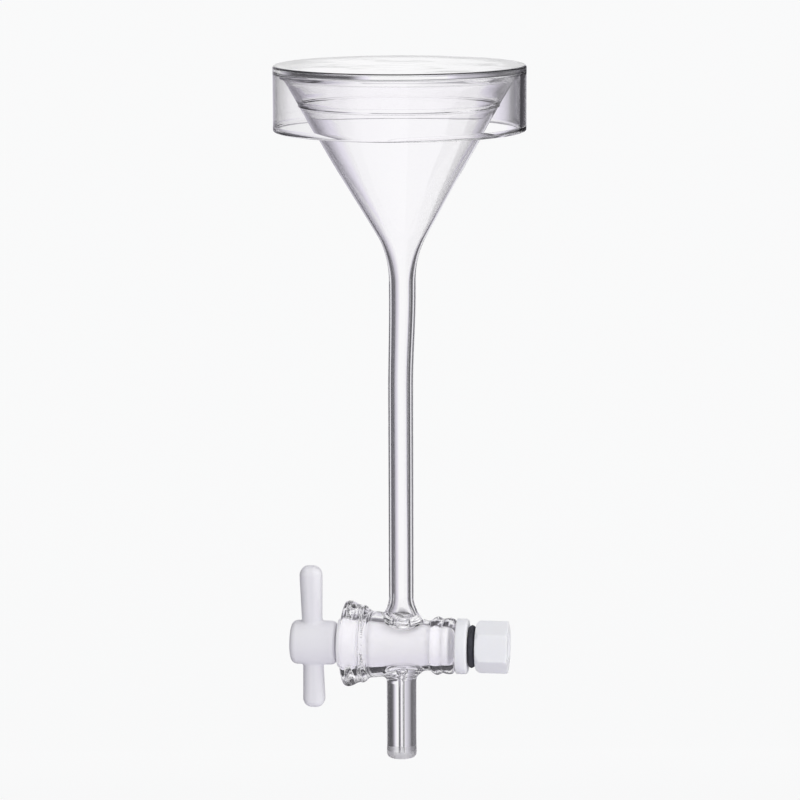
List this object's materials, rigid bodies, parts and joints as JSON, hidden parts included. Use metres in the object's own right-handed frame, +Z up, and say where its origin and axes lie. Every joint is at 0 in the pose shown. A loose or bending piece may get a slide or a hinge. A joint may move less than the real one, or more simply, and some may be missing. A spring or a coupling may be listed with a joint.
{
  "type": "separatory funnel with stopcock",
  "caption": "Clear conical glass funnel with a long stem, a loose flat skirted lid, and a horizontal T-handled PTFE stopcock above a short outlet tube.",
  "frame": {"origin": "centre of the outlet tube's lower end, on the axis of the stem", "axes": "+Z up along the stem towards the bowl; +X along the stopcock's axis towards its nut, so the handle's hub is on the -X side; +Y away from the viewer"},
  "size_m": [0.105, 0.105, 0.2961],
  "materials": {
    "clear_glass": "fire polished borosilicate glass",
    "ptfe": "machined PTFE, waxy",
    "handle_plastic": "moulded, satin",
    "black_rubber": "matt"
  },
  "bodies": {
    "glassware": {"funnel_bowl": "clear_glass", "stem_tube": "clear_glass", "stopcock_barrel": "clear_glass", "outlet_tube": "clear_glass"},
    "lid_body": {"lid": "clear_glass"},
    "key_body": {"stopcock_key": "ptfe", "handle": "handle_plastic"},
    "seal_body": {"washer": "ptfe", "o_ring": "black_rubber"},
    "nut_body": {"nut": "ptfe"}
  },
  "joints": [
    {"name": "lid_lift", "type": "slide", "parent": "glassware", "child": "lid_body", "axis": [0, 0, 1], "range_m": [0, 0.08]},
    {"name": "plug_turn", "type": "hinge", "parent": "glassware", "child": "key_body", "pos_m": [0, 0, 0.0493], "axis": [1, 0, 0], "continuous": true},
    {"name": "nut_travel", "type": "slide", "parent": "key_body", "child": "seal_body", "axis": [1, 0, 0], "range_m": [0, 0.003]},
    {"name": "nut_spin", "type": "hinge", "parent": "seal_body", "child": "nut_body", "pos_m": [0, 0, 0.0493], "axis": [1, 0, 0], "range_deg": [0, 720]}
  ],
  "couplings": [
    {"joint": "nut_spin", "follows": "nut_travel", "rad_per_m": 4188.8}
  ]
}
